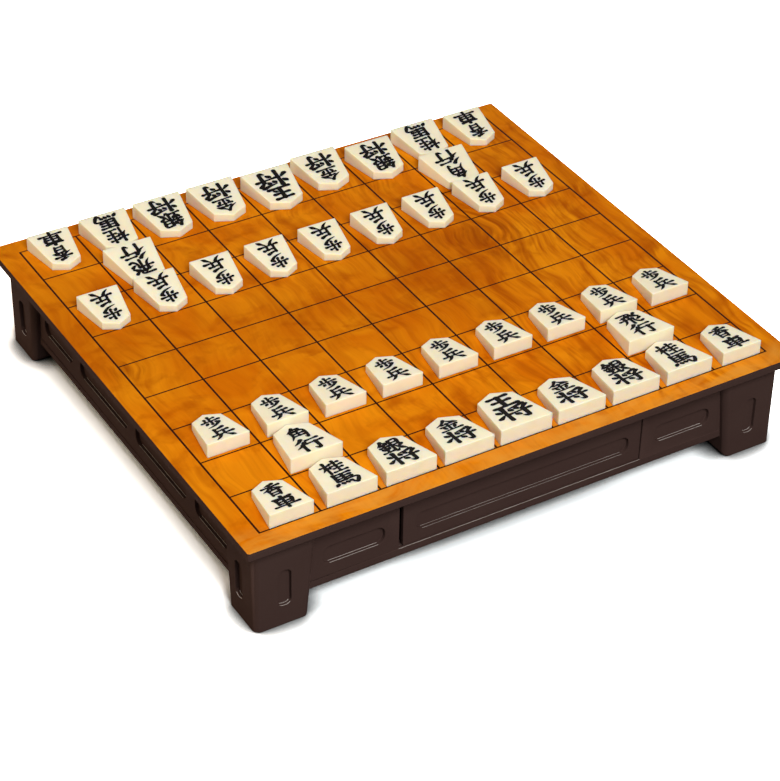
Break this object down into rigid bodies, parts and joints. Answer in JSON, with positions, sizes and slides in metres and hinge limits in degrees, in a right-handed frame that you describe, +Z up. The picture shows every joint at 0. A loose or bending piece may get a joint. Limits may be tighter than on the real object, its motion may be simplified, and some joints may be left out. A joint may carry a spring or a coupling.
{
  "type": "shogi board with drawers and koma",
  "caption": "Table-top shogi board: printed wood sheet with a ruled grid on a dark moulded stand with legs and two drawers, set with wedge-shaped ivory koma.",
  "frame": {"origin": "middle of the footprint, on the table surface under the feet", "axes": "+X to the near player's right along the front edge, +Y from the near player to the far player, +Z up"},
  "size_m": [0.297, 0.273, 0.0616],
  "materials": {
    "printed_wood": "lacquered print of honey-orange wood grain, thin dark ruled lines",
    "dark_plastic": "satin moulded dark brown",
    "drawer_plastic": "satin moulded dark brown",
    "ivory_plastic": "satin ivory with black lettering",
    "screw_steel": "zinc plated"
  },
  "bodies": {
    "root": {"playing_sheet": "printed_wood", "deck": "dark_plastic", "stand": "dark_plastic", "deck_screws": "screw_steel"},
    "drawer_front": {"drawer_front": "drawer_plastic"},
    "drawer_back": {"drawer_back": "drawer_plastic"},
    "near_lance_9": {"near_lance_9": "ivory_plastic"},
    "near_knight_8": {"near_knight_8": "ivory_plastic"},
    "near_silver_7": {"near_silver_7": "ivory_plastic"},
    "near_gold_6": {"near_gold_6": "ivory_plastic"},
    "near_king": {"near_king": "ivory_plastic"},
    "near_gold_4": {"near_gold_4": "ivory_plastic"},
    "near_silver_3": {"near_silver_3": "ivory_plastic"},
    "near_knight_2": {"near_knight_2": "ivory_plastic"},
    "near_lance_1": {"near_lance_1": "ivory_plastic"},
    "near_bishop": {"near_bishop": "ivory_plastic"},
    "near_rook": {"near_rook": "ivory_plastic"},
    "near_pawn_9": {"near_pawn_9": "ivory_plastic"},
    "near_pawn_8": {"near_pawn_8": "ivory_plastic"},
    "near_pawn_7": {"near_pawn_7": "ivory_plastic"},
    "near_pawn_6": {"near_pawn_6": "ivory_plastic"},
    "near_pawn_5": {"near_pawn_5": "ivory_plastic"},
    "near_pawn_4": {"near_pawn_4": "ivory_plastic"},
    "near_pawn_3": {"near_pawn_3": "ivory_plastic"},
    "near_pawn_2": {"near_pawn_2": "ivory_plastic"},
    "near_pawn_1": {"near_pawn_1": "ivory_plastic"},
    "far_lance_1": {"far_lance_1": "ivory_plastic"},
    "far_knight_2": {"far_knight_2": "ivory_plastic"},
    "far_silver_3": {"far_silver_3": "ivory_plastic"},
    "far_gold_4": {"far_gold_4": "ivory_plastic"},
    "far_king": {"far_king": "ivory_plastic"},
    "far_gold_6": {"far_gold_6": "ivory_plastic"},
    "far_silver_7": {"far_silver_7": "ivory_plastic"},
    "far_knight_8": {"far_knight_8": "ivory_plastic"},
    "far_lance_9": {"far_lance_9": "ivory_plastic"},
    "far_bishop": {"far_bishop": "ivory_plastic"},
    "far_rook": {"far_rook": "ivory_plastic"},
    "far_pawn_1": {"far_pawn_1": "ivory_plastic"},
    "far_pawn_2": {"far_pawn_2": "ivory_plastic"},
    "far_pawn_3": {"far_pawn_3": "ivory_plastic"},
    "far_pawn_4": {"far_pawn_4": "ivory_plastic"},
    "far_pawn_5": {"far_pawn_5": "ivory_plastic"},
    "far_pawn_6": {"far_pawn_6": "ivory_plastic"},
    "far_pawn_7": {"far_pawn_7": "ivory_plastic"},
    "far_pawn_8": {"far_pawn_8": "ivory_plastic"},
    "far_pawn_9": {"far_pawn_9": "ivory_plastic"}
  },
  "joints": [
    {"name": "drawer_front_slide", "type": "slide", "parent": "root", "child": "drawer_front", "axis": [0, -1, 0], "range_m": [0, 0.078]},
    {"name": "drawer_back_slide", "type": "slide", "parent": "root", "child": "drawer_back", "axis": [0, 1, 0], "range_m": [0, 0.078]},
    {"name": "lift_near_lance_9", "type": "slide", "parent": "root", "child": "near_lance_9", "axis": [0, 0, 1], "range_m": [0, 0.04]},
    {"name": "lift_near_knight_8", "type": "slide", "parent": "root", "child": "near_knight_8", "axis": [0, 0, 1], "range_m": [0, 0.04]},
    {"name": "lift_near_silver_7", "type": "slide", "parent": "root", "child": "near_silver_7", "axis": [0, 0, 1], "range_m": [0, 0.04]},
    {"name": "lift_near_gold_6", "type": "slide", "parent": "root", "child": "near_gold_6", "axis": [0, 0, 1], "range_m": [0, 0.04]},
    {"name": "lift_near_king", "type": "slide", "parent": "root", "child": "near_king", "axis": [0, 0, 1], "range_m": [0, 0.04]},
    {"name": "lift_near_gold_4", "type": "slide", "parent": "root", "child": "near_gold_4", "axis": [0, 0, 1], "range_m": [0, 0.04]},
    {"name": "lift_near_silver_3", "type": "slide", "parent": "root", "child": "near_silver_3", "axis": [0, 0, 1], "range_m": [0, 0.04]},
    {"name": "lift_near_knight_2", "type": "slide", "parent": "root", "child": "near_knight_2", "axis": [0, 0, 1], "range_m": [0, 0.04]},
    {"name": "lift_near_lance_1", "type": "slide", "parent": "root", "child": "near_lance_1", "axis": [0, 0, 1], "range_m": [0, 0.04]},
    {"name": "lift_near_bishop", "type": "slide", "parent": "root", "child": "near_bishop", "axis": [0, 0, 1], "range_m": [0, 0.04]},
    {"name": "lift_near_rook", "type": "slide", "parent": "root", "child": "near_rook", "axis": [0, 0, 1], "range_m": [0, 0.04]},
    {"name": "lift_near_pawn_9", "type": "slide", "parent": "root", "child": "near_pawn_9", "axis": [0, 0, 1], "range_m": [0, 0.04]},
    {"name": "lift_near_pawn_8", "type": "slide", "parent": "root", "child": "near_pawn_8", "axis": [0, 0, 1], "range_m": [0, 0.04]},
    {"name": "lift_near_pawn_7", "type": "slide", "parent": "root", "child": "near_pawn_7", "axis": [0, 0, 1], "range_m": [0, 0.04]},
    {"name": "lift_near_pawn_6", "type": "slide", "parent": "root", "child": "near_pawn_6", "axis": [0, 0, 1], "range_m": [0, 0.04]},
    {"name": "lift_near_pawn_5", "type": "slide", "parent": "root", "child": "near_pawn_5", "axis": [0, 0, 1], "range_m": [0, 0.04]},
    {"name": "lift_near_pawn_4", "type": "slide", "parent": "root", "child": "near_pawn_4", "axis": [0, 0, 1], "range_m": [0, 0.04]},
    {"name": "lift_near_pawn_3", "type": "slide", "parent": "root", "child": "near_pawn_3", "axis": [0, 0, 1], "range_m": [0, 0.04]},
    {"name": "lift_near_pawn_2", "type": "slide", "parent": "root", "child": "near_pawn_2", "axis": [0, 0, 1], "range_m": [0, 0.04]},
    {"name": "lift_near_pawn_1", "type": "slide", "parent": "root", "child": "near_pawn_1", "axis": [0, 0, 1], "range_m": [0, 0.04]},
    {"name": "lift_far_lance_1", "type": "slide", "parent": "root", "child": "far_lance_1", "axis": [0, 0, 1], "range_m": [0, 0.04]},
    {"name": "lift_far_knight_2", "type": "slide", "parent": "root", "child": "far_knight_2", "axis": [0, 0, 1], "range_m": [0, 0.04]},
    {"name": "lift_far_silver_3", "type": "slide", "parent": "root", "child": "far_silver_3", "axis": [0, 0, 1], "range_m": [0, 0.04]},
    {"name": "lift_far_gold_4", "type": "slide", "parent": "root", "child": "far_gold_4", "axis": [0, 0, 1], "range_m": [0, 0.04]},
    {"name": "lift_far_king", "type": "slide", "parent": "root", "child": "far_king", "axis": [0, 0, 1], "range_m": [0, 0.04]},
    {"name": "lift_far_gold_6", "type": "slide", "parent": "root", "child": "far_gold_6", "axis": [0, 0, 1], "range_m": [0, 0.04]},
    {"name": "lift_far_silver_7", "type": "slide", "parent": "root", "child": "far_silver_7", "axis": [0, 0, 1], "range_m": [0, 0.04]},
    {"name": "lift_far_knight_8", "type": "slide", "parent": "root", "child": "far_knight_8", "axis": [0, 0, 1], "range_m": [0, 0.04]},
    {"name": "lift_far_lance_9", "type": "slide", "parent": "root", "child": "far_lance_9", "axis": [0, 0, 1], "range_m": [0, 0.04]},
    {"name": "lift_far_bishop", "type": "slide", "parent": "root", "child": "far_bishop", "axis": [0, 0, 1], "range_m": [0, 0.04]},
    {"name": "lift_far_rook", "type": "slide", "parent": "root", "child": "far_rook", "axis": [0, 0, 1], "range_m": [0, 0.04]},
    {"name": "lift_far_pawn_1", "type": "slide", "parent": "root", "child": "far_pawn_1", "axis": [0, 0, 1], "range_m": [0, 0.04]},
    {"name": "lift_far_pawn_2", "type": "slide", "parent": "root", "child": "far_pawn_2", "axis": [0, 0, 1], "range_m": [0, 0.04]},
    {"name": "lift_far_pawn_3", "type": "slide", "parent": "root", "child": "far_pawn_3", "axis": [0, 0, 1], "range_m": [0, 0.04]},
    {"name": "lift_far_pawn_4", "type": "slide", "parent": "root", "child": "far_pawn_4", "axis": [0, 0, 1], "range_m": [0, 0.04]},
    {"name": "lift_far_pawn_5", "type": "slide", "parent": "root", "child": "far_pawn_5", "axis": [0, 0, 1], "range_m": [0, 0.04]},
    {"name": "lift_far_pawn_6", "type": "slide", "parent": "root", "child": "far_pawn_6", "axis": [0, 0, 1], "range_m": [0, 0.04]},
    {"name": "lift_far_pawn_7", "type": "slide", "parent": "root", "child": "far_pawn_7", "axis": [0, 0, 1], "range_m": [0, 0.04]},
    {"name": "lift_far_pawn_8", "type": "slide", "parent": "root", "child": "far_pawn_8", "axis": [0, 0, 1], "range_m": [0, 0.04]},
    {"name": "lift_far_pawn_9", "type": "slide", "parent": "root", "child": "far_pawn_9", "axis": [0, 0, 1], "range_m": [0, 0.04]}
  ]
}
